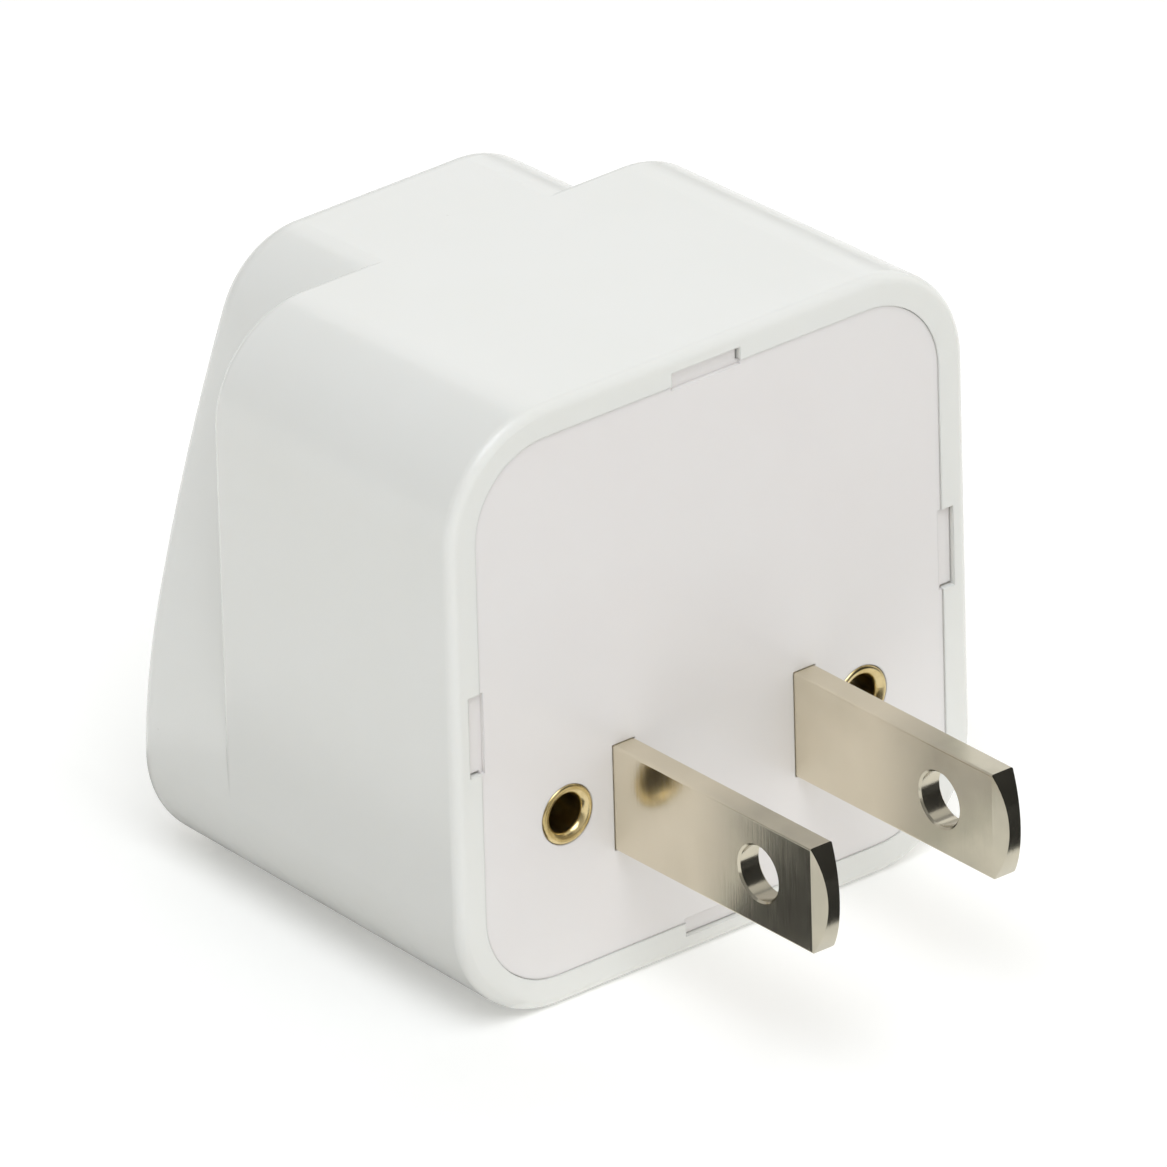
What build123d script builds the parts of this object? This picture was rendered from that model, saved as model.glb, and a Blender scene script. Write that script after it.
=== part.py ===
from build123d import *
from math import radians, tan
import os

# Universal travel adapter: a plug-in block with two flat blades on its back and a socket face
# that takes British, European, American and Australian pins.
# Millimetres. X is to the right when looking at the socket face, +Y is the way the blades point,
# +Z is up. The origin lies on the rear rim plane, midway between the blades.
# "left" is -X. Heights called rise are measured from the line and neutral pin centre line.

# ---- driving dimensions -------------------------------------------------------------------

BLADE_SPACING = 12.7        # between blade centres
BLADE_THICKNESS = 1.5
BLADE_WIDTH = 6.3
BLADE_REACH = 17.3          # from the rear rim to the tip
BLADE_TIP_BULGE = 1.0       # the end is a shallow arc
BLADE_HOLE_Y = 11.9
BLADE_HOLE_DIAMETER = 3.2
BLADE_BEVEL = 0.35          # taken off each broad face at the very tip
BLADE_EDGE = 0.12           # rounding of the long edges
BLADE_CLEARANCE = 0.03      # around the blade in its slot
BLADE_BEND = 1.2            # outer radius of the bend behind the plate
HOLE_BEVEL = 0.12

BODY_WIDTH = 36.1           # at the rear rim
BODY_HEIGHT = 36.0
BODY_BOTTOM = -11.08
BODY_DEPTH = 28.4
BODY_CORNER = 6.8
BODY_DRAFT = 1.25           # degrees, every side closes in towards the socket face
REAR_EDGE = 0.6             # rounding of the outer rear edge
FRONT_EDGE = 1.5            # rounding around the socket face

STEP_DEPTH = 20.7           # the full-width block ends here, the bell-shaped block goes on
STEP_EDGE = 0.8             # rounding of the step
BELL_LEAVES = -0.9          # height at which the side arc of the bell leaves the side of the body
BELL_EASE = 40.0            # rounding between the two
BELL_MIDDLE = (14.75, 10.6)
BELL_TOP_HALF = 9.6         # half width where the side arc would reach the top
BELL_CORNER = 6.0
BELL_FOOT = -25.0           # the outline ends straight, well below the body
BELL_OVERLAP = 2.0          # the bell is drawn from this far inside the full-width block

RIM = 1.85                  # rim width around the back plate
SIDE_WALL = 1.65
STEP_WALL = 1.8
FRONT_WALL = 2.5            # wall behind the socket face
WELL_DEPTH = 5.0            # guided depth of the line and neutral openings
EARTH_WELL_DEPTH = 8.0
WELL_WALL = 1.2
OPENING_EDGE = 0.12         # bevel around every opening of the socket face
CORE_DRAFT = 0.5            # degrees, inner walls
RIB_WIDTH = 1.2             # short ribs along the walls carry the back plate
RIB_REACH = 1.1
RIB_ROOT = 0.6              # part of a rib buried in its wall
RIB_FRONT_Y = -17.0
SIDE_RIB_HEIGHTS = (-1.0, 15.5)
TOP_RIB_X = 8.0
BOTTOM_RIB_X = 3.2

PIN_LINE = -3.56            # height of the line and neutral pins
BRITISH_SLOT = ((7.3, -2.3), (14.3, 1.9))       # opposite corners, x and rise
AMERICAN_SLOT = ((5.3, -4.0), (7.35, 4.4))
SLANTED_SLOT = ((7.3, 0.05), (9.4, 2.75))       # upper part of the slanted Australian slot
SLANTED_FOOT = ((5.3, -0.6), (4.55, -1.4), (4.55, -3.95), (7.2, -3.95), (7.2, -0.6))
ROUND_PIN_X = 9.5
ROUND_PIN_RADIUS = 2.85
EARTH_HOLE_RISE = 20.6      # centre of the large round earth opening
EARTH_HOLE_RADIUS = 3.6
EARTH_WIDTH = 4.2           # rectangle above it, for the 4 by 8 British earth pin
EARTH_TOP_RISE = 26.25
NECK_WIDTH = 2.1
NECK_HEIGHT = 4.0
LOBE_LOW_RISE = 11.6        # the lower earth lobe is a slot between these two centres
LOBE_HIGH_RISE = 12.8
LOBE_RADIUS = 3.0
LOBE_LIP = 0.4              # the lobe narrows by this much behind its step
LOBE_STEP = 1.2
SMALL_HOLE_DIAMETER = 4.2
UPPER_HOLE_RISE = 5.3
UPPER_HOLE_DEPTH = 1.2

PLATE_GAP = 0.02            # seam between plate and rim
PLATE_RECESS = 0.08
PLATE_THICKNESS = 2.0
LATCH_WIDTH = 4.8
LATCH_REACH = 0.8           # the latch window reaches this far into the rim
LATCH_STEP = 0.25           # and the sunk tab this far into the plate
LATCH_HEIGHT = 7.0          # side latches, height of their middle
LATCH_SINK = 0.3            # the latch tab lies this far below the rim
TAB_FRONT_Y = -1.35
TAB_GAP = 0.05              # between the end of the tab and its window
LATCH_LEG = 7.0
LEG_THICKNESS = 1.15
LEG_HALF_WIDTH = 2.0
LATCH_NOSE = 0.45           # depth of the pocket that catches the nose
NOSE_RAMP = 0.9
NOSE_LENGTH = 2.0
PLAY = 0.15                 # moulding clearance between the two plastic parts and around inserts
ROOT = 0.5                  # features of the plate reach this far into its body

EYELET_X = 10.35
EYELET_Z = 0.15
EYELET_BORE = 2.2
EYELET_BARREL = 3.0
EYELET_HEAD = 3.5
EYELET_HOLE = 3.1
HEAD_HEIGHT = 0.35
FUNNEL_DEPTH = 0.5          # the rolled ends fall this far into the bore
FUNNEL_BULGE = 0.1          # and curve out by this much on the way
SEAT_DEPTH = 0.27           # the head sits this deep in the plate
RIVET_HOLE_END = 6.0        # depth of the hole through blade foot and strip

FOOT_END = 12.8             # blade feet and contact strips end here
FOOT_GAP = 0.02
STRIP = 0.5                 # brass sheet of the contacts
STRIP_BEND = 0.45
STRIP_HALF_HEIGHT = 2.9
STRIP_INNER = 7.4           # the strip's foot starts beside the blade
FLANGE_REAR_Y = -6.2
LEAF_INNER = 4.3            # the sprung leaves span from here to FOOT_END
LEAF_ROOT_Y = -10.8
LEAF_PINCH_Y = -20.2
LEAF_MOUTH_Y = -22.4
LEAF_ROOT_RISE = 3.45
LEAF_PINCH_RISE = 1.95
LEAF_MOUTH_RISE = 2.6
LEAF_CORNER = 1.2
LEAF_BEND = 1.5
BEND_GAP = 0.2              # clearance at the bend between fixed strip and moving leaf

EARTH_YOKE_Y = -4.6         # rear face of the yoke
YOKE_LOW_RISE = 11.2
YOKE_HIGH_RISE = 24.0
EARTH_ARM = 2.8             # half width over the yoke arms
EARTH_ROOT_Y = -11.1
EARTH_MOUTH_Y = -20.2
EARTH_SLEEVE_Y = -25.6      # the lower sleeves reach further forward
EARTH_LEAN = 3.0            # degrees, the jaws lean in at rest
CHEEK_TOP_RISE = 25.4       # the flat cheek spans between these two
CHEEK_LOW_RISE = 18.4
WAIST_RISE = 15.6
WAIST_DEPTH = 0.75
SLEEVE_RISE = 13.0          # widest height of the round sleeve
SLEEVE_BULGE = 0.45         # the sleeve stands out this far beyond the cheek
SLEEVE_TOP_RISE = 15.2      # above it the jaw ends at its mouth
SLEEVE_BEND = (2.85, 11.1)  # points of the sleeve's turned-in lower edge, x and rise
SLEEVE_END = (1.9, 9.5)
POCKET_WALL = 1.0           # ribs of the plate around the yoke
POCKET_FRONT_Y = -9.0
STOP_FRONT_Y = -5.6
CUSHION = (2.2, 5.0)        # half width and half height of the pad behind the yoke

SLACK = 0.002               # keeps helper faces from lying exactly in the body faces
SIDE_SLACK = 0.02           # the same beside the bell, where the faces run almost parallel

top = BODY_BOTTOM + BODY_HEIGHT
middle = BODY_BOTTOM + BODY_HEIGHT / 2
plate_inner = -PLATE_RECESS - PLATE_THICKNESS
front = -BODY_DEPTH
blade_x = BLADE_SPACING / 2
side_rim = BODY_WIDTH / 2 - RIM         # inner faces of the rim
top_rim = top - RIM
bottom_rim = BODY_BOTTOM + RIM
seat_y = -PLATE_RECESS - SEAT_DEPTH
yoke_low = PIN_LINE + YOKE_LOW_RISE
yoke_high = PIN_LINE + YOKE_HIGH_RISE


# ---- helpers ------------------------------------------------------------------------------

def section(y):
    """Drawing plane across the body at depth y: local x is X, local y is Z, extrusions go to -Y."""
    return Plane(origin=(0, y, 0), x_dir=(1, 0, 0), z_dir=(0, -1, 0))


def side_view(x):
    """Drawing plane along the body at x: local x is Y, local y is Z, extrusions go to +X."""
    return Plane(origin=(x, 0, 0), x_dir=(0, 1, 0), z_dir=(1, 0, 0))


def draft_shift(depth, degrees):
    return depth * tan(radians(degrees))


def both_sides(shape):
    return [shape, mirror(shape, about=Plane.YZ)]


def box_between(low, high):
    """Axis-parallel block from its lowest to its highest corner."""
    size = [b - a for a, b in zip(low, high)]
    centre = [(a + b) / 2 for a, b in zip(low, high)]
    return Pos(*centre) * Box(*size)


def rounded_block(inset, y_start, depth, degrees):
    """Rounded-square block from y_start towards the socket face, closing in by its draft."""
    outline = RectangleRounded(BODY_WIDTH - 2 * inset, BODY_HEIGHT - 2 * inset, BODY_CORNER - inset)
    return extrude(section(y_start) * Pos(0, middle) * outline, depth, taper=degrees)


def bell_outline(inset, y, roof):
    """Bell shape at depth y: straight foot, side arcs and rounded top corners under the height roof."""
    side = BODY_WIDTH / 2 - draft_shift(-y, BODY_DRAFT) + SIDE_SLACK - inset
    low = (side, BELL_LEAVES)
    mid = (BELL_MIDDLE[0] - inset, BELL_MIDDLE[1])
    high = (BELL_TOP_HALF - inset, roof)
    right_side = [Line((side, BELL_FOOT), low), ThreePointArc(low, mid, high)]
    left_side = [mirror(edge, about=Plane.YZ) for edge in right_side]
    lid = Line((-high[0], roof), high)
    sill = Line((-side, BELL_FOOT), (side, BELL_FOOT))
    face = make_face(right_side + [lid] + left_side + [sill])
    corners = face.vertices().sort_by(Axis.Y)
    face = fillet(corners[-2:], BELL_CORNER - inset)
    eased = [corner for corner in face.vertices() if abs(corner.Y - BELL_LEAVES) < SLACK]
    return fillet(eased, BELL_EASE - inset)


# ---- openings of the socket face ----------------------------------------------------------

def slot(corners):
    """Rectangle between two opposite corners."""
    low, high = corners
    centre = ((low[0] + high[0]) / 2, (low[1] + high[1]) / 2)
    return Pos(*centre) * Rectangle(high[0] - low[0], high[1] - low[1])


def pin_opening():
    """Right-hand line or neutral opening: British, American, round and slanted pins in one."""
    round_pin = Pos(ROUND_PIN_X, 0) * Circle(ROUND_PIN_RADIUS)
    slanted_foot = make_face(Polyline(*SLANTED_FOOT, close=True))
    opening = slot(BRITISH_SLOT) + slot(AMERICAN_SLOT) + slot(SLANTED_SLOT) + round_pin + slanted_foot
    return Pos(0, PIN_LINE) * opening


def earth_upper():
    """Upper earth opening: a rectangle over a round hole."""
    height = EARTH_TOP_RISE - EARTH_HOLE_RISE
    square_top = Pos(0, EARTH_HOLE_RISE + height / 2) * Rectangle(EARTH_WIDTH, height)
    return Pos(0, PIN_LINE) * (square_top + Pos(0, EARTH_HOLE_RISE) * Circle(EARTH_HOLE_RADIUS))


def earth_neck():
    """Passage between the upper earth opening and its lower lobe."""
    return Pos(0, PIN_LINE + (LOBE_HIGH_RISE + EARTH_HOLE_RISE) / 2) * Rectangle(NECK_WIDTH, NECK_HEIGHT)


def earth_lobe(radius):
    """Lower lobe of the earth opening."""
    height = LOBE_HIGH_RISE - LOBE_LOW_RISE
    ends = Pos(0, LOBE_LOW_RISE) * Circle(radius) + Pos(0, LOBE_HIGH_RISE) * Circle(radius)
    straight = Pos(0, (LOBE_LOW_RISE + LOBE_HIGH_RISE) / 2) * Rectangle(2 * radius, height)
    return Pos(0, PIN_LINE) * (ends + straight)


def cut_from_face(sketch, depth):
    return extrude(section(front + depth) * sketch, depth + 1)


# ---- housing ------------------------------------------------------------------------------

def housing_shape():
    """Outer form: a drafted rounded block whose front end is trimmed to the bell outline."""
    bell_start = BELL_OVERLAP - STEP_DEPTH
    block = rounded_block(0, 0, BODY_DEPTH, BODY_DRAFT)
    rear = rounded_block(-SLACK, 0, STEP_DEPTH, BODY_DRAFT)
    rear = fillet(rear.faces().sort_by(Axis.Y)[0].edges(), STEP_EDGE)
    roof = top - draft_shift(-bell_start, BODY_DRAFT) + SLACK
    bell = extrude(section(bell_start) * bell_outline(0, bell_start, roof), BODY_DEPTH, taper=BODY_DRAFT)
    reach = BODY_WIDTH
    trimmed = box_between((-reach, front - 1, -reach), (reach, STEP_EDGE + SLACK - STEP_DEPTH, reach))
    shape = block - (trimmed - rear - bell)
    shape = fillet(shape.faces().sort_by(Axis.Y)[0].edges(), FRONT_EDGE)
    return fillet(shape.faces().sort_by(Axis.Y)[-1].edges(), REAR_EDGE)


def housing_cavity():
    """The two rooms inside: behind the step, and in the bell-shaped nose."""
    rear = rounded_block(RIM, 0, STEP_DEPTH - STEP_WALL, CORE_DRAFT)
    start = STEP_WALL - STEP_DEPTH
    roof = top_rim - draft_shift(-start, CORE_DRAFT)
    depth = start - front - FRONT_WALL
    nose = extrude(section(start) * bell_outline(SIDE_WALL, start, roof), depth, taper=CORE_DRAFT)
    limit = rounded_block(RIM, 0, BODY_DEPTH - FRONT_WALL, CORE_DRAFT)
    return rear, nose & limit


def latch_frames():
    """One placement per latch: each turns local +X to the outward direction of its side."""
    return [
        Location((side_rim, 0, LATCH_HEIGHT), (0, 0, 0)),
        Location((-side_rim, 0, LATCH_HEIGHT), (0, 180, 0)),
        Location((0, 0, top_rim), (0, -90, 0)),
        Location((0, 0, bottom_rim), (0, 90, 0)),
    ]


def support_ribs():
    """Short ribs along the walls that carry the back plate."""
    half = RIB_WIDTH / 2
    rear = plate_inner - PLATE_GAP
    ribs = []
    for z in SIDE_RIB_HEIGHTS:
        low = (side_rim - RIB_REACH, RIB_FRONT_Y, z - half)
        ribs += both_sides(box_between(low, (side_rim + RIB_ROOT, rear, z + half)))
    low = (TOP_RIB_X - half, RIB_FRONT_Y, top_rim - RIB_REACH)
    ribs += both_sides(box_between(low, (TOP_RIB_X + half, rear, top_rim + RIB_ROOT)))
    low = (BOTTOM_RIB_X - half, RIB_FRONT_Y, bottom_rim - RIB_ROOT)
    ribs += both_sides(box_between(low, (BOTTOM_RIB_X + half, rear, bottom_rim + RIB_REACH)))
    return ribs


def socket_housing():
    """Body with its socket face, pin wells, latch windows and inner ribs."""
    shape = housing_shape()
    rear_room, nose_room = housing_cavity()
    shape = shape - rear_room - nose_room
    for rib in support_ribs():
        shape += rib
    into_wall = FRONT_WALL / 4
    room = nose_room + extrude(nose_room.faces().sort_by(Axis.Y)[0], into_wall, dir=(0, -1, 0))
    wells = [(opening, WELL_DEPTH) for opening in both_sides(pin_opening())]
    wells.append((earth_upper(), EARTH_WELL_DEPTH))
    for opening, depth in wells:
        well = extrude(section(front + depth) * offset(opening, WELL_WALL), depth - FRONT_WALL + into_wall)
        shape += well & room
    for opening, depth in wells:
        shape -= cut_from_face(opening, depth + SLACK)
    shape -= cut_from_face(earth_neck(), EARTH_WELL_DEPTH + SLACK)
    shape -= cut_from_face(earth_lobe(LOBE_RADIUS), LOBE_STEP)
    shape -= cut_from_face(earth_lobe(LOBE_RADIUS - LOBE_LIP), FRONT_WALL + SLACK)
    small_hole = Pos(0, PIN_LINE) * Circle(SMALL_HOLE_DIAMETER / 2)
    shape -= cut_from_face(small_hole, FRONT_WALL + SLACK)
    shape -= cut_from_face(Pos(0, UPPER_HOLE_RISE) * small_hole, UPPER_HOLE_DEPTH)
    rims = [edge for wire in shape.faces().sort_by(Axis.Y)[0].inner_wires() for edge in wire.edges()]
    shape = chamfer(rims, OPENING_EDGE)
    half = LEG_HALF_WIDTH + PLAY
    window = box_between((-1, TAB_FRONT_Y - PLAY, -LATCH_WIDTH / 2), (LATCH_REACH, 1, LATCH_WIDTH / 2))
    pocket = box_between((-1, -LATCH_LEG - PLAY, -half), (LATCH_NOSE, NOSE_LENGTH + PLAY - LATCH_LEG, half))
    for frame in latch_frames():
        shape -= frame * window
        shape -= frame * pocket
    return shape


# ---- back plate ---------------------------------------------------------------------------

def latch():
    """Snap latch at the plate edge: a tab in the rim window and a leg with a nose."""
    half = LATCH_WIDTH / 2 - PLAY
    tab = box_between((-ROOT, TAB_FRONT_Y, -half), (LATCH_REACH - TAB_GAP, -LATCH_SINK, half))
    root_y = plate_inner + ROOT
    inner = -PLAY - LEG_THICKNESS
    tip = LATCH_NOSE - PLAY
    ramp_end = NOSE_RAMP - LATCH_LEG
    nose_end = NOSE_LENGTH - LATCH_LEG
    profile = Polyline((inner, root_y), (inner, -LATCH_LEG), (-ROOT, -LATCH_LEG), (tip, ramp_end),
                       (tip, nose_end), (-PLAY, nose_end), (-PLAY, root_y), close=True)
    return tab + extrude(make_face(profile), LEG_HALF_WIDTH, both=True)


def yoke_pocket():
    """Ribs of the back plate that hold the earth yoke: walls, end stops and a pad behind it."""
    root_y = plate_inner + ROOT
    inside = EARTH_ARM + PLAY
    outside = inside + POCKET_WALL
    low_stop = yoke_low - PLAY - POCKET_WALL
    high_stop = yoke_high + PLAY
    end = high_stop + POCKET_WALL
    walls = both_sides(box_between((inside, POCKET_FRONT_Y, low_stop), (outside, root_y, end)))
    stops = [box_between((-outside, STOP_FRONT_Y, z), (outside, root_y, z + POCKET_WALL))
             for z in (low_stop, high_stop)]
    pad_x, pad_z = CUSHION
    pad_middle = (yoke_low + yoke_high) / 2
    pad_low = (-pad_x, EARTH_YOKE_Y + SLACK, pad_middle - pad_z)
    return walls + stops + [box_between(pad_low, (pad_x, root_y, pad_middle + pad_z))]


def back_plate():
    """Plate let into the rear rim, with blade slots, eyelet seats and latches."""
    plate = rounded_block(RIM + PLATE_GAP, -PLATE_RECESS, PLATE_THICKNESS, CORE_DRAFT)
    sink = box_between((-LATCH_STEP, -LATCH_SINK, -LATCH_WIDTH / 2), (1, 1, LATCH_WIDTH / 2))
    for frame in latch_frames():
        plate -= frame * sink
        plate += frame * latch()
    for rib in yoke_pocket():
        plate += rib
    half_x = BLADE_THICKNESS / 2 + BLADE_CLEARANCE
    half_z = BLADE_WIDTH / 2 + BLADE_CLEARANCE
    blade_slot = box_between((blade_x - half_x, plate_inner - 1, -half_z), (blade_x + half_x, 1, half_z))
    rivet = section(1) * Pos(EYELET_X, EYELET_Z)
    hole = extrude(rivet * Circle(EYELET_HOLE / 2), 2 - plate_inner)
    seat = extrude(rivet * Circle(EYELET_HEAD / 2 + PLATE_GAP), 1 - seat_y)
    for cut in (blade_slot, hole, seat):
        for side in both_sides(cut):
            plate -= side
    return plate


# ---- plug blades and eyelets --------------------------------------------------------------

def blade():
    """Right-hand flat blade with its foot turned outward behind the plate."""
    foot_rear = plate_inner - FOOT_GAP
    foot_front = foot_rear - BLADE_THICKNESS
    half = BLADE_WIDTH / 2
    shoulder = BLADE_REACH - BLADE_TIP_BULGE
    outline = [Line((foot_front, -half), (shoulder, -half)),
               ThreePointArc((shoulder, -half), (BLADE_REACH, 0), (shoulder, half)),
               Line((shoulder, half), (foot_front, half)),
               Line((foot_front, half), (foot_front, -half))]
    inner = blade_x - BLADE_THICKNESS / 2
    outer = blade_x + BLADE_THICKNESS / 2
    shape = extrude(side_view(inner) * make_face(outline), BLADE_THICKNESS)
    long_edges = shape.edges().filter_by(Axis.Y)
    shape = fillet(long_edges, BLADE_EDGE)
    for face_x, sign in ((inner, 1), (outer, -1)):
        cut_x = face_x + sign * BLADE_BEVEL
        wedge = make_face(Polyline((face_x - sign, shoulder), (face_x, shoulder), (cut_x, BLADE_REACH),
                                   (cut_x, BLADE_REACH + 1), (face_x - sign, BLADE_REACH + 1), close=True))
        shape -= extrude(wedge, half + 1, both=True)
    shape -= extrude(side_view(0) * Pos(BLADE_HOLE_Y, 0) * Circle(BLADE_HOLE_DIAMETER / 2), outer + 1)
    hole_rims = [edge for edge in shape.edges().filter_by(GeomType.CIRCLE)
                 if abs(edge.radius - BLADE_HOLE_DIAMETER / 2) < SLACK]
    shape = chamfer(hole_rims, HOLE_BEVEL)
    shape += box_between((inner, foot_front, -half), (FOOT_END, foot_rear, half))
    bend = shape.edges().filter_by(Axis.Z).group_by(Axis.Y)[0].sort_by(Axis.X)[0]
    shape = fillet(bend, BLADE_BEND)
    return shape - rivet_hole()


def rivet_hole():
    """Hole for the right-hand eyelet, behind the plate."""
    return extrude(section(0) * Pos(EYELET_X, EYELET_Z) * Circle(EYELET_HOLE / 2), RIVET_HOLE_END)


def rolled_end(y, direction):
    """Rolled end of the eyelet from its barrel to its bore; direction 1 rolls to the rear."""
    rim = EYELET_HEAD / 2
    bore = EYELET_BORE / 2
    roll = direction * HEAD_HEIGHT / 2
    crest = (rim - HEAD_HEIGHT / 2, y + 2 * roll)
    throat = (bore, y - direction * (FUNNEL_DEPTH - HEAD_HEIGHT))
    on_funnel = ((crest[0] + bore) / 2 - FUNNEL_BULGE, (crest[1] + throat[1]) / 2 + direction * FUNNEL_BULGE)
    return [Line((EYELET_BARREL / 2, y), (crest[0], y)),
            ThreePointArc((crest[0], y), (rim, y + roll), crest),
            ThreePointArc(crest, on_funnel, throat)]


def eyelet():
    """Hollow brass rivet with a rolled head on the plate and a rolled foot inside."""
    tail_y = plate_inner - 3 * FOOT_GAP - BLADE_THICKNESS - STRIP
    head = rolled_end(seat_y, 1)
    tail = rolled_end(tail_y, -1)
    bore_wall = Line(head[2] @ 1, tail[2] @ 1)
    barrel_wall = Line(head[0] @ 0, tail[0] @ 0)
    outline = head + tail + [bore_wall, barrel_wall]
    ring = revolve(make_face(outline), Axis.Y)
    return Pos(EYELET_X, 0, EYELET_Z) * ring


# ---- line and neutral contacts ------------------------------------------------------------

def contact_strip():
    """Right-hand fixed strip: foot under the eyelet, side wall and the two flange stubs."""
    foot_rear = plate_inner - 2 * FOOT_GAP - BLADE_THICKNESS
    foot_front = foot_rear - STRIP
    flange_front = LEAF_ROOT_Y + BEND_GAP
    upper = PIN_LINE + LEAF_ROOT_RISE + STRIP / 2
    lower = PIN_LINE - LEAF_ROOT_RISE - STRIP / 2
    foot_low = (STRIP_INNER, foot_front, -STRIP_HALF_HEIGHT)
    foot = box_between(foot_low, (FOOT_END, foot_rear, STRIP_HALF_HEIGHT))
    wall = box_between((FOOT_END - STRIP, flange_front, lower), (FOOT_END, foot_rear, upper))
    shape = foot + wall
    for z in (upper - STRIP, lower):
        shape += box_between((LEAF_INNER, flange_front, z), (FOOT_END, FLANGE_REAR_Y, z + STRIP))
    outer_edges = shape.edges().filter_by(Axis.Y).group_by(Axis.X)[-1]
    flange_length = FLANGE_REAR_Y - flange_front
    long_bends = [edge for edge in outer_edges if edge.length >= flange_length]
    return fillet(long_bends, STRIP_BEND) - rivet_hole()


def pin_leaf(side):
    """Right-hand sprung leaf above (side 1) or below (side -1) the pins, flared at its mouth."""
    spine = FilletPolyline((LEAF_ROOT_Y, PIN_LINE + side * LEAF_ROOT_RISE),
                           (LEAF_PINCH_Y, PIN_LINE + side * LEAF_PINCH_RISE),
                           (LEAF_MOUTH_Y, PIN_LINE + side * LEAF_MOUTH_RISE), radius=LEAF_BEND)
    leaf = extrude(side_view(LEAF_INNER) * trace(spine, STRIP), FOOT_END - LEAF_INNER)
    short_edges = [edge for edge in leaf.edges() if abs(edge.length - STRIP) < SLACK]
    mouth_corners = ShapeList(short_edges).group_by(Axis.Y)[0]
    return fillet(mouth_corners, LEAF_CORNER)


# ---- earth contact ------------------------------------------------------------------------

def earth_yoke():
    """Fixed yoke of the earth contact, held in a pocket of the back plate."""
    corner = (EARTH_ARM, EARTH_YOKE_Y, yoke_high)
    shape = box_between((-EARTH_ARM, EARTH_YOKE_Y - STRIP, yoke_low), corner)
    arm = box_between((EARTH_ARM - STRIP, EARTH_ROOT_Y + BEND_GAP, yoke_low), corner)
    for side in both_sides(arm):
        shape += side
    bends = shape.edges().filter_by(Axis.Z).group_by(Axis.Y)[-1]
    return fillet(bends, STRIP_BEND)


def earth_jaw():
    """Right-hand sprung jaw: a flat upper cheek over a round lower sleeve, leaning inward."""
    cheek = EARTH_ARM - STRIP / 2
    sleeve = (cheek + SLEEVE_BULGE, SLEEVE_RISE)
    waist = (cheek - WAIST_DEPTH, WAIST_RISE)
    shoulder = (cheek, CHEEK_LOW_RISE)
    down = (0, -1)
    line = [Line((cheek, CHEEK_TOP_RISE), shoulder),
            Spline(shoulder, waist, tangents=[down, down]),
            Spline(waist, sleeve, tangents=[down, down]),
            ThreePointArc(sleeve, SLEEVE_BEND, SLEEVE_END)]
    profile = Pos(0, PIN_LINE) * trace(Curve(line), STRIP)
    jaw = extrude(section(EARTH_ROOT_Y) * profile, EARTH_ROOT_Y - EARTH_SLEEVE_Y)
    beyond = BODY_HEIGHT
    jaw -= box_between((0, EARTH_SLEEVE_Y - 1, PIN_LINE + SLEEVE_TOP_RISE), (beyond, EARTH_MOUTH_Y, beyond))
    pivot = Pos(cheek, EARTH_ROOT_Y, 0)
    return pivot * Rot(0, 0, -EARTH_LEAN) * pivot.inverse() * jaw


# ---- files --------------------------------------------------------------------------------

paired = {
    "blade": blade(),
    "eyelet": eyelet(),
    "contact_strip": contact_strip(),
    "upper_leaf": pin_leaf(1),
    "lower_leaf": pin_leaf(-1),
    "earth_jaw": earth_jaw(),
}
single = {
    "socket_housing": socket_housing(),
    "back_plate": back_plate(),
    "earth_yoke": earth_yoke(),
}
os.makedirs("parts", exist_ok=True)
for name, shape in single.items():
    export_step(shape, f"parts/{name}.step")
for name, shape in paired.items():
    right, left = both_sides(shape)
    export_step(right, f"parts/{name}_right.step")
    export_step(left, f"parts/{name}_left.step")
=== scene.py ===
import math

import bpy
from mathutils import Matrix, Vector


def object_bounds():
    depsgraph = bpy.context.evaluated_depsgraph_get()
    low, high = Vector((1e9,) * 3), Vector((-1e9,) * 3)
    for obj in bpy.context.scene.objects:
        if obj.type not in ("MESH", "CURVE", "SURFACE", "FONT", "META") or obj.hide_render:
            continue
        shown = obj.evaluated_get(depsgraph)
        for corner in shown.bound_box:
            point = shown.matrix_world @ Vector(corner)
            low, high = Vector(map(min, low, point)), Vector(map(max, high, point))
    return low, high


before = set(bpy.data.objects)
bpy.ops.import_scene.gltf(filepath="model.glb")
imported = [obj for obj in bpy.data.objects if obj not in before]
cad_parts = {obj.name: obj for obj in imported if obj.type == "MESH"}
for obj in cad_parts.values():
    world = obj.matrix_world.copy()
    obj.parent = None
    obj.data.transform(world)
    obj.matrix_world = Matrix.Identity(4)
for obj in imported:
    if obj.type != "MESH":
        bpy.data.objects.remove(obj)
cad_low, cad_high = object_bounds()

# Looks for a universal travel adapter. Metres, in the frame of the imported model: +Y is the way
# the blades point, +Z is up, and the socket face looks towards -Y.

MM = 0.001
DRAFT = math.radians(1.25)          # the underside rises by this much towards the socket face
UPRIGHT = math.radians(90)

CAMERA_AZIMUTH = math.radians(140.9)
CAMERA_ELEVATION = math.radians(26.8)
CAMERA_ROLL = math.radians(-1.6)
CAMERA_DISTANCE = 1.466
CAMERA_LENS = 840
CAMERA_SENSOR = 36
CAMERA_CLIP_END = 10
CAMERA_AIM = Vector((0.0022, -0.0082, 0.0082))      # puts the object in the middle of the picture

TENT_LEVEL = 0.545                  # strength of the tent's light, averaged over all directions
TENT_LEAN = (-0.34, 0.08, 0.0)      # added strength towards each axis: the +X side is the dark one
TENT_COLOR = (1.0, 0.995, 0.965)
FLOOR_GLOW = 0.18                   # keeps the floor near white under soft light
FLOOR_GAP = 0.00002                 # floor below the object's lowest point
CARD_GAP = 0.001                    # cards above the object's lowest point

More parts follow.
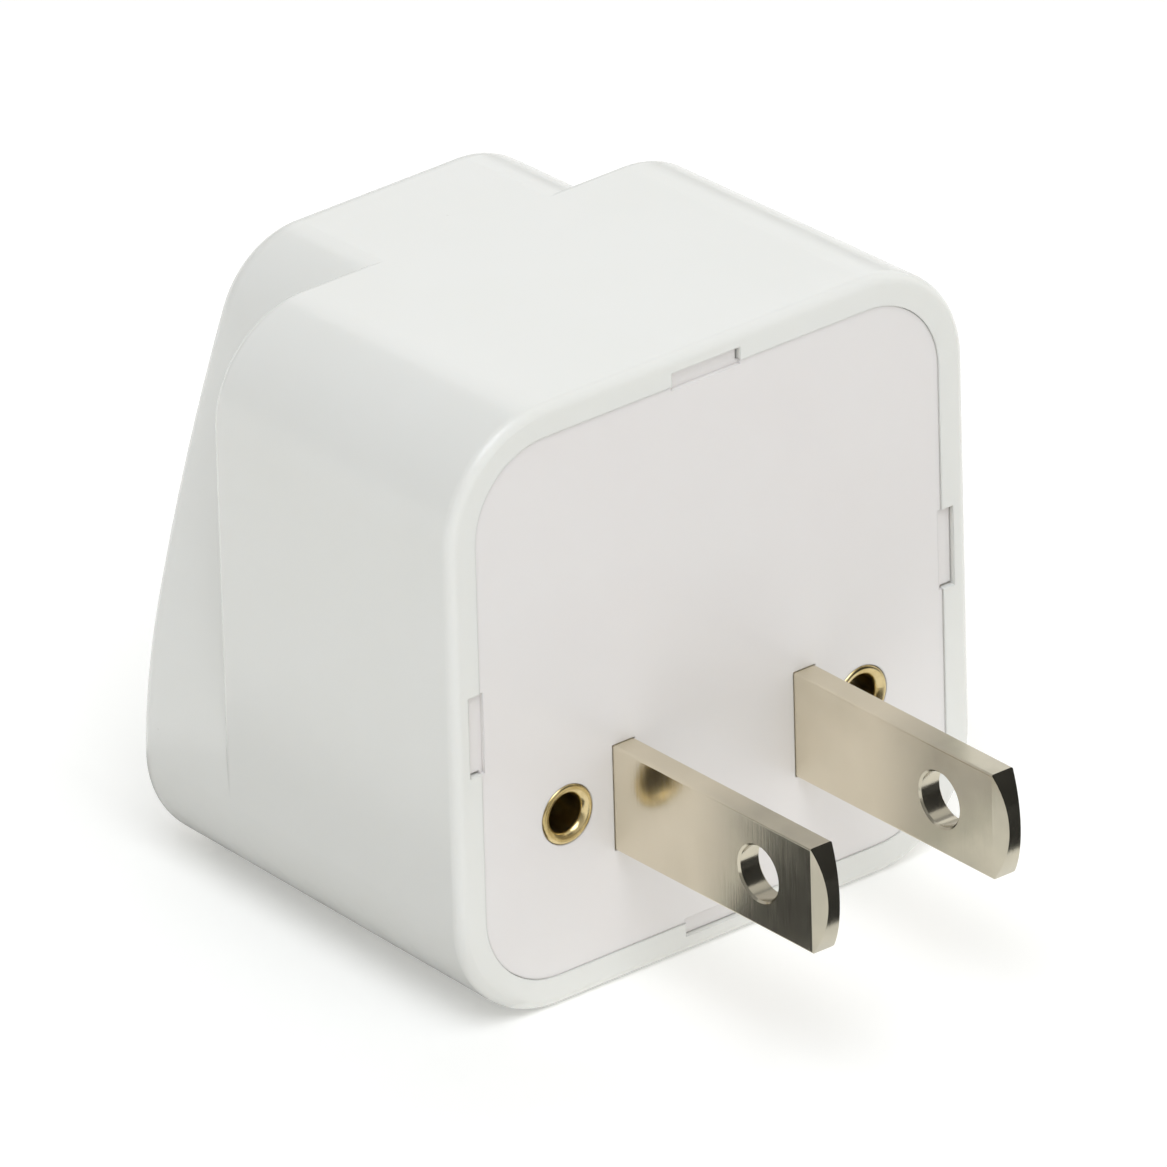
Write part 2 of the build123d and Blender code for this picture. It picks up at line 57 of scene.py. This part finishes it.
WEAR_AND_DARK_REFLECTION_FROM = 0.0065               # the blades' colour darkens beyond this distance from the rim: painted dark reflection and some wear
WEAR_AND_DARK_REFLECTION_TO = 0.0115                 # and fully so from here on
SPECK_SPACING = (7, 7, 7)           # cell size of the dust specks, mm
EDGE_SOFTNESS = 0.12 * MM           # shading radius of the moulded edges

# Sockets of the Mix node that carry colours, which share their names with other sockets.
MIX_FIRST = 6
MIX_SECOND = 7
MIX_RESULT = 2


# ---- node helpers -------------------------------------------------------------------------

class Nodes:
    """Builds one node material with short calls."""

    def __init__(self, name):
        self.material = bpy.data.materials.new(name)
        self.material.use_nodes = True
        self.tree = self.material.node_tree
        self.shader = self.tree.nodes["Principled BSDF"]
        self.position = self.node("ShaderNodeTexCoord").outputs["Object"]

    def node(self, kind, inputs=None, **settings):
        made = self.tree.nodes.new(kind)
        for key, value in settings.items():
            setattr(made, key, value)
        for key, value in (inputs or {}).items():
            self.join(value, made.inputs[key])
        return made

    def join(self, value, socket):
        if isinstance(value, bpy.types.NodeSocket):
            self.tree.links.new(value, socket)
        else:
            socket.default_value = value

    def set(self, **inputs):
        names = {"base_color": "Base Color", "metallic": "Metallic", "roughness": "Roughness",
                 "ior": "IOR", "normal": "Normal", "scatter": "Subsurface Weight",
                 "scatter_radius": "Subsurface Radius", "scatter_scale": "Subsurface Scale",
                 "emission": "Emission Color", "glow": "Emission Strength"}
        for key, value in inputs.items():
            self.join(value, self.shader.inputs[names[key]])

    def scaled(self, sizes):
        """Object position divided by a size in millimetres along each axis."""
        scale = [1 / (size * MM) for size in sizes]
        return self.node("ShaderNodeMapping", {"Vector": self.position, "Scale": scale}).outputs[0]

    def noise(self, size_mm, detail=3.0, rough=0.5, stretch=(1, 1, 1)):
        place = self.scaled([size_mm * s for s in stretch])
        inputs = {"Vector": place, "Scale": 1.0, "Detail": detail, "Roughness": rough}
        return self.node("ShaderNodeTexNoise", inputs).outputs["Fac"]

    def span(self, value, low, high, to_low, to_high):
        """Maps value from low..high to to_low..to_high, clamped."""
        made = self.node("ShaderNodeMapRange", {"Value": value})
        made.inputs["From Min"].default_value = low
        made.inputs["From Max"].default_value = high
        made.inputs["To Min"].default_value = to_low
        made.inputs["To Max"].default_value = to_high
        return made.outputs[0]

    def math(self, operation, a, b):
        made = self.node("ShaderNodeMath", operation=operation)
        self.join(a, made.inputs[0])
        self.join(b, made.inputs[1])
        return made.outputs[0]

    def mix(self, share, first, second):
        made = self.node("ShaderNodeMix", data_type="RGBA")
        self.join(share, made.inputs["Factor"])
        self.join(first, made.inputs[MIX_FIRST])
        self.join(second, made.inputs[MIX_SECOND])
        return made.outputs[MIX_RESULT]

    def bump(self, height, depth_mm, strength, below=None):
        inputs = {"Height": height, "Strength": strength, "Distance": depth_mm * MM}
        made = self.node("ShaderNodeBump", inputs)
        if below is not None:
            self.join(below, made.inputs["Normal"])
        return made.outputs[0]


# ---- materials ----------------------------------------------------------------------------

def moulded_plastic(name, color, shade, roughness):
    """Satin white ABS: cloudy tone, slight orange peel, a few dust specks and softened edges."""
    m = Nodes(name)
    cloud = m.noise(9.0, detail=2.0)
    tone = m.mix(m.span(cloud, 0.35, 0.65, 0.0, 1.0), color, shade)
    cells = m.node("ShaderNodeTexVoronoi", {"Vector": m.scaled(SPECK_SPACING), "Scale": 1.0})
    specks = cells.outputs["Distance"]
    tone = m.mix(m.span(specks, 0.010, 0.018, 0.3, 0.0), tone, (0.42, 0.39, 0.34, 1))
    peel = m.noise(2.2, detail=1.0)
    edge = m.node("ShaderNodeBevel", {"Radius": EDGE_SOFTNESS}, samples=4).outputs[0]
    m.set(base_color=tone, ior=1.5,
          roughness=m.span(peel, 0.3, 0.7, roughness - 0.03, roughness + 0.03),
          normal=m.bump(peel, 0.006, 0.4, below=edge),
          scatter=0.15, scatter_radius=(1.0, 0.9, 0.8), scatter_scale=0.6 * MM)
    return m.material


def nickel_plate(name):
    """Warm hazy nickel plating, brushed across the blade; towards the tip its colour is darkened by
    a painted dark reflection and some wear.
    """
    m = Nodes(name)
    brushed = m.noise(0.12, detail=4.0, stretch=(1, 1, 20))
    haze = m.noise(3.0, detail=3.0)
    reach = m.node("ShaderNodeSeparateXYZ", {"Vector": m.position}).outputs["Y"]
    # Painted dark reflection and some wear: the colour darkens along the blade towards its tip, down
    # to the dark colour below.
    wear_and_reflection_ramp = m.span(reach, WEAR_AND_DARK_REFLECTION_FROM, WEAR_AND_DARK_REFLECTION_TO, 0.0, 0.85)
    wear_and_dark_reflection = m.math("MULTIPLY", wear_and_reflection_ramp, m.span(haze, 0.3, 0.6, 0.7, 1.0))
    bright = m.mix(m.span(haze, 0.3, 0.7, 0.0, 1.0), (0.76, 0.695, 0.55, 1), (0.82, 0.75, 0.60, 1))
    color = m.mix(wear_and_dark_reflection, bright, (0.41, 0.385, 0.31, 1))
    slow = m.span(haze, 0.3, 0.7, 0.16, 0.23)
    fine = m.span(brushed, 0.3, 0.7, -0.03, 0.03)
    m.set(base_color=color, metallic=1.0, roughness=m.math("ADD", slow, fine),
          normal=m.bump(brushed, 0.005, 0.6))
    return m.material


def brass(name, color, tarnish, roughness, spread):
    """Brass with a slow tarnish pattern and fine drawing marks."""
    m = Nodes(name)
    stain = m.noise(1.4, detail=4.0, rough=0.6)
    marks = m.noise(0.08, detail=3.0, stretch=(1, 12, 1))
    tone = m.mix(m.span(stain, 0.42, 0.7, 0.0, 0.8), color, tarnish)
    m.set(base_color=tone, metallic=1.0, normal=m.bump(marks, 0.003, 0.5),
          roughness=m.span(stain, 0.3, 0.7, roughness, roughness + spread))
    return m.material


def paint(node, material):
    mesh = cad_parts[node].data
    mesh.materials.clear()
    mesh.materials.append(material)


# ---- stage --------------------------------------------------------------------------------

def sheet(name, corner, size, place):
    """Flat sheet in its own XY plane, from its lowest corner, with its origin at a place."""
    x, y = corner
    width, depth = size
    corners = [(x, y, 0), (x + width, y, 0), (x + width, y + depth, 0), (x, y + depth, 0)]
    mesh = bpy.data.meshes.new(name)
    mesh.from_pydata(corners, [], [(0, 1, 2, 3)])
    made = bpy.data.objects.new(name, mesh)
    made.location = place
    bpy.context.scene.collection.objects.link(made)
    return made


def floor():
    """Pale floor, laid flush with the drafted underside."""
    plane = sheet("floor", (-3, -3), (6, 6), (0, 0, cad_low[2] - FLOOR_GAP))
    plane.rotation_euler = (-DRAFT, 0, 0)
    m = Nodes("floor_white")
    tone = m.mix(m.noise(60.0), (0.925, 0.92, 0.895, 1), (0.94, 0.935, 0.91, 1))
    m.set(base_color=tone, roughness=0.7, emission=(0.97, 0.98, 1.0, 1), glow=FLOOR_GLOW)
    plane.data.materials.append(m.material)


def card(name, corner, size, turn=(0, 0, 0), at=(0, 0), glow=0.0):
    """Card that only shows in polished surfaces, as in a product studio: dark, or glowing white."""
    made = sheet(name, corner, size, (*at, cad_low[2] + CARD_GAP))
    made.rotation_euler = turn
    made.visible_camera = False
    made.visible_diffuse = False
    made.visible_shadow = False
    made.visible_transmission = False
    m = Nodes(name)
    tone = m.mix(m.noise(20.0), (0.02, 0.02, 0.02, 1), (0.035, 0.035, 0.035, 1))
    m.set(base_color=tone, roughness=0.9, emission=(1, 1, 1, 1), glow=glow)
    made.data.materials.append(m.material)


def area_light(name, place, size, power, color):
    """Square soft light that faces the object's origin."""
    light = bpy.data.lights.new(name, "AREA")
    light.shape = "RECTANGLE"
    light.size = size
    light.size_y = size
    light.energy = power
    light.color = color
    lamp = bpy.data.objects.new(name, light)
    bpy.context.scene.collection.objects.link(lamp)
    lamp.location = place
    lamp.rotation_euler = Vector(place).to_track_quat("Z", "Y").to_euler()


def tent_light():
    """White tent all around: its strength is the level plus the lean along each direction."""
    world = bpy.data.worlds.new("tent")
    bpy.context.scene.world = world
    world.use_nodes = True
    tree = world.node_tree
    background = tree.nodes["Background"]
    background.inputs["Color"].default_value = (*TENT_COLOR, 1)
    direction = tree.nodes.new("ShaderNodeTexCoord").outputs["Generated"]
    slope = tree.nodes.new("ShaderNodeVectorMath")
    slope.operation = "DOT_PRODUCT"
    slope.inputs[1].default_value = TENT_LEAN
    total = tree.nodes.new("ShaderNodeMath")
    total.operation = "ADD"
    total.inputs[1].default_value = TENT_LEVEL
    tree.links.new(direction, slope.inputs[0])
    tree.links.new(slope.outputs["Value"], total.inputs[0])
    tree.links.new(total.outputs[0], background.inputs["Strength"])


def camera():
    """Looks at the object from the photograph's direction."""
    back = Vector((math.sin(CAMERA_AZIMUTH) * math.cos(CAMERA_ELEVATION),
                   -math.cos(CAMERA_AZIMUTH) * math.cos(CAMERA_ELEVATION),
                   math.sin(CAMERA_ELEVATION)))
    data = bpy.data.cameras.new("camera")
    data.lens = CAMERA_LENS
    data.sensor_width = CAMERA_SENSOR
    data.clip_end = CAMERA_CLIP_END
    made = bpy.data.objects.new("camera", data)
    bpy.context.scene.collection.objects.link(made)
    aim = back.to_track_quat("Z", "Y").to_matrix().to_4x4()
    place = Matrix.Translation(CAMERA_AIM + back * CAMERA_DISTANCE)
    made.matrix_world = place @ aim @ Matrix.Rotation(CAMERA_ROLL, 4, "Z")
    bpy.context.scene.camera = made


# ---- the adapter --------------------------------------------------------------------------

white = moulded_plastic("white_abs", (0.82, 0.82, 0.787, 1), (0.81, 0.81, 0.773, 1), 0.225)
plate_white = moulded_plastic("plate_abs", (0.825, 0.80, 0.785, 1), (0.815, 0.785, 0.77, 1), 0.235)
nickel = nickel_plate("nickel")
eyelet_brass = brass("eyelet_brass", (0.70, 0.57, 0.31, 1), (0.46, 0.34, 0.13, 1), 0.22, 0.04)
sheet_brass = brass("sheet_brass", (0.74, 0.58, 0.27, 1), (0.50, 0.38, 0.17, 1), 0.34, 0.15)

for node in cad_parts:
    if node == "socket_housing":
        paint(node, white)
    elif node == "back_plate":
        paint(node, plate_white)
    elif node.startswith("blade"):
        paint(node, nickel)
    elif node.startswith("eyelet"):
        paint(node, eyelet_brass)
    else:
        paint(node, sheet_brass)


# ---- the studio ---------------------------------------------------------------------------

floor()

# Lying just above the floor: for the dark tip of the near blade, for the dark ends and hole walls
# of both blades, and for the grey line along the top's far edge. The first one reaches into the
# body's bottom corner, hidden there from every ray but polished reflections.
card("side_flag", (0.0135, -0.040), (0.018, 0.048), glow=0.02)
card("front_flag", (-0.160, 0.022), (0.170, 0.170))
card("back_flag", (-3.0, -3.0), (2.96, 2.94))

# Standing in front of the blades, for their ends.
card("standing_flag", (-0.090, 0.0), (0.180, 0.260), (UPRIGHT, 0, math.radians(39)), (-0.126, 0.155))

# Standing behind the object: a bright card that the flat top mirrors up to its rounded corner,
# and a wide darker one behind it.
card("backdrop", (-1.8, 0.13), (1.59, 0.77), (UPRIGHT, 0, 0), (0, -0.5), glow=1.15)
card("rear_flag", (-2.4, 0.0), (4.2, 2.4), (UPRIGHT, 0, 0), (0, -0.52), glow=0.35)

tent_light()
area_light("overhead", (0.27, 0.34, 0.86), 0.7, 4.85, (0.965, 1.0, 1.06))
area_light("socket_light", (-0.10, -0.85, 0.22), 0.5, 0.9, (1.0, 1.0, 1.0))
camera()
bpy.context.scene.view_settings.view_transform = "Standard"
